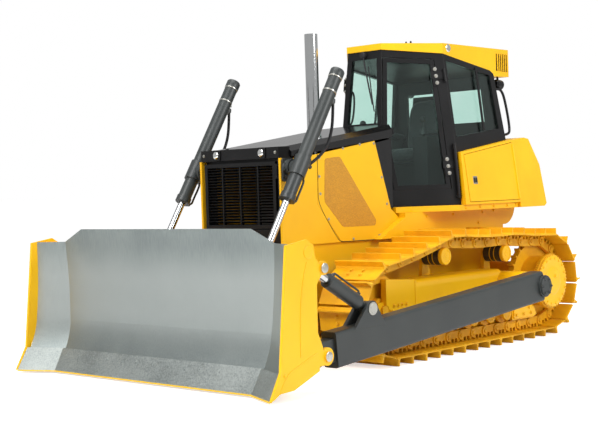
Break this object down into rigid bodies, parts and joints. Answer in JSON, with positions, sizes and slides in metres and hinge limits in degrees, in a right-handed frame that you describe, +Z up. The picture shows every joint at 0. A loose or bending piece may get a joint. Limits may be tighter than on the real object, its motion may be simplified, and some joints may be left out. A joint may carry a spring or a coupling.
{
  "type": "bulldozer",
  "caption": "Crawler bulldozer with a semi-U steel blade on push beams, lift and tilt cylinders, wide-shoe tracks, a tapered cab with hinged doors and a hinged front grille.",
  "frame": {"origin": "middle of the machine's outline on the ground, at the tips of the track bars", "axes": "+Z up, +Y to the rear, +X to the machine's left; the blade is at -Y"},
  "size_m": [3.306, 5.2937, 3.139],
  "materials": {
    "yellow_paint": "semi-gloss yellow paint",
    "dark_grey_paint": "satin dark grey paint",
    "black_gloss_paint": "gloss black paint",
    "black_paint": "satin black paint",
    "blade_steel": "satin brushed steel",
    "chrome": "polished chrome",
    "cab_glass": "pale green safety glass",
    "seat_fabric": "dark woven fabric",
    "dark_plastic": "matt dark plastic",
    "cast_iron": "painted cast iron"
  },
  "bodies": {
    "hull": {"cab_frame": "black_paint", "cab_glass": "cab_glass", "cab_roof": "yellow_paint", "carrier_rollers": "yellow_paint", "compartments": "yellow_paint", "consoles": "dark_plastic", "cowl": "black_gloss_paint", "cross_shafts": "cast_iron", "drawbar": "yellow_paint", "engine": "cast_iron", "engine_shields": "yellow_paint", "exhaust_stack": "chrome", "final_drives": "yellow_paint", "grille_frame": "black_paint", "hood": "black_gloss_paint", "idlers": "yellow_paint", "lift_yokes": "dark_grey_paint", "main_frame": "yellow_paint", "nose_bar": "black_gloss_paint", "nose_plates": "yellow_paint", "platform": "yellow_paint", "rear_tank": "yellow_paint", "seat": "seat_fabric", "track_frames": "yellow_paint", "track_left": "yellow_paint", "track_right": "yellow_paint", "track_rollers": "yellow_paint", "upper_frame": "yellow_paint"},
    "beam_right": {"push_beam_right": "dark_grey_paint"},
    "beam_left": {"push_beam_left": "dark_grey_paint"},
    "blade": {"moldboard": "blade_steel", "cutting_edge": "blade_steel", "blade_frame": "yellow_paint", "end_plates": "yellow_paint"},
    "brace_right": {"link_barrel_right": "dark_grey_paint", "link_rod_right": "chrome"},
    "tilt_barrel": {"link_barrel_left": "dark_grey_paint"},
    "tilt_rod": {"link_rod_left": "chrome"},
    "lift_barrel_left": {"lift_barrel_left": "dark_grey_paint"},
    "lift_rod_left": {"lift_rod_left": "chrome"},
    "lift_barrel_right": {"lift_barrel_right": "dark_grey_paint"},
    "lift_rod_right": {"lift_rod_right": "chrome"},
    "cab_door_left": {"cab_door_left": "black_paint", "door_glass_left": "cab_glass"},
    "cab_door_right": {"cab_door_right": "black_paint", "door_glass_right": "cab_glass"},
    "compartment_door_left": {"compartment_door_left": "yellow_paint"},
    "compartment_door_right": {"compartment_door_right": "yellow_paint"},
    "grille": {"grille": "black_paint"}
  },
  "joints": [
    {"name": "blade_lift", "type": "hinge", "parent": "hull", "child": "beam_right", "pos_m": [-1.48, 1.353, 0.578], "axis": [-1, 0, 0], "range_deg": [-7, 16]},
    {"name": "blade_tilt", "type": "hinge", "parent": "beam_right", "child": "blade", "pos_m": [-1.48, -1.987, 0.292], "axis": [0, 0.9964, 0.0853], "range_deg": [-4, 4]},
    {"name": "beam_left_pivot", "type": "hinge", "parent": "beam_right", "child": "beam_left", "pos_m": [1.48, 1.353, 0.578], "axis": [1, 0, 0], "range_deg": [-3.53, 3.53]},
    {"name": "tilt_barrel_pivot", "type": "hinge", "parent": "beam_left", "child": "tilt_barrel", "pos_m": [1.49, -1.327, 0.605], "axis": [-0.4029, 0.4495, 0.7972], "range_deg": [-3.9, 3.9]},
    {"name": "tilt_rod_slide", "type": "slide", "parent": "tilt_barrel", "child": "tilt_rod", "axis": [0, -0.8711, 0.4912], "range_m": [-0.038, 0.038]},
    {"name": "brace_right_pivot", "type": "hinge", "parent": "beam_right", "child": "brace_right", "pos_m": [-1.49, -1.327, 0.605], "axis": [-0.0119, 0.4911, 0.871], "range_deg": [-3.57, 3.57]},
    {"name": "lift_barrel_left_pivot", "type": "hinge", "parent": "hull", "child": "lift_barrel_left", "pos_m": [0.675, -1.19, 1.806], "axis": [-1, 0, 0], "range_deg": [-11.88, 27.14]},
    {"name": "lift_rod_left_slide", "type": "slide", "parent": "lift_barrel_left", "child": "lift_rod_left", "axis": [0, -0.5374, -0.8434], "range_m": [-0.736, 0.322]},
    {"name": "lift_barrel_right_pivot", "type": "hinge", "parent": "hull", "child": "lift_barrel_right", "pos_m": [-0.675, -1.19, 1.806], "axis": [-1, 0, 0], "range_deg": [-11.88, 27.14]},
    {"name": "lift_rod_right_slide", "type": "slide", "parent": "lift_barrel_right", "child": "lift_rod_right", "axis": [0, -0.5374, -0.8434], "range_m": [-0.736, 0.322]},
    {"name": "cab_door_left_hinge", "type": "hinge", "parent": "hull", "child": "cab_door_left", "pos_m": [0.73146, 1.04304, 2.2], "axis": [-0.1318, 0, 0.9913], "range_deg": [0, 115]},
    {"name": "cab_door_right_hinge", "type": "hinge", "parent": "hull", "child": "cab_door_right", "pos_m": [-0.73146, 1.04304, 2.2], "axis": [-0.1318, 0, -0.9913], "range_deg": [0, 115]},
    {"name": "compartment_door_left_hinge", "type": "hinge", "parent": "hull", "child": "compartment_door_left", "pos_m": [0.8694, 2.001, 1.7], "axis": [-0.1318, 0, 0.9913], "range_deg": [0, 120]},
    {"name": "compartment_door_right_hinge", "type": "hinge", "parent": "hull", "child": "compartment_door_right", "pos_m": [-0.8694, 2.001, 1.7], "axis": [-0.1318, 0, -0.9913], "range_deg": [0, 120]},
    {"name": "grille_hinge", "type": "hinge", "parent": "hull", "child": "grille", "pos_m": [0.471, -1.276, 1.564], "axis": [0, 0, -1], "range_deg": [-90, 0]}
  ],
  "couplings": [
    {"joint": "beam_left_pivot", "follows": "blade_tilt", "ratio": 0.88183},
    {"joint": "tilt_barrel_pivot", "follows": "blade_tilt", "ratio": 0.97305},
    {"joint": "tilt_rod_slide", "follows": "blade_tilt", "m_per_rad": -0.53414},
    {"joint": "brace_right_pivot", "follows": "blade_tilt", "ratio": 0.89063},
    {"joint": "lift_barrel_left_pivot", "follows": "blade_lift", "ratio": 1.6958},
    {"joint": "lift_rod_left_slide", "follows": "blade_lift", "m_per_rad": -2.6336},
    {"joint": "lift_barrel_right_pivot", "follows": "blade_lift", "ratio": 1.6958},
    {"joint": "lift_rod_right_slide", "follows": "blade_lift", "m_per_rad": -2.6336}
  ]
}
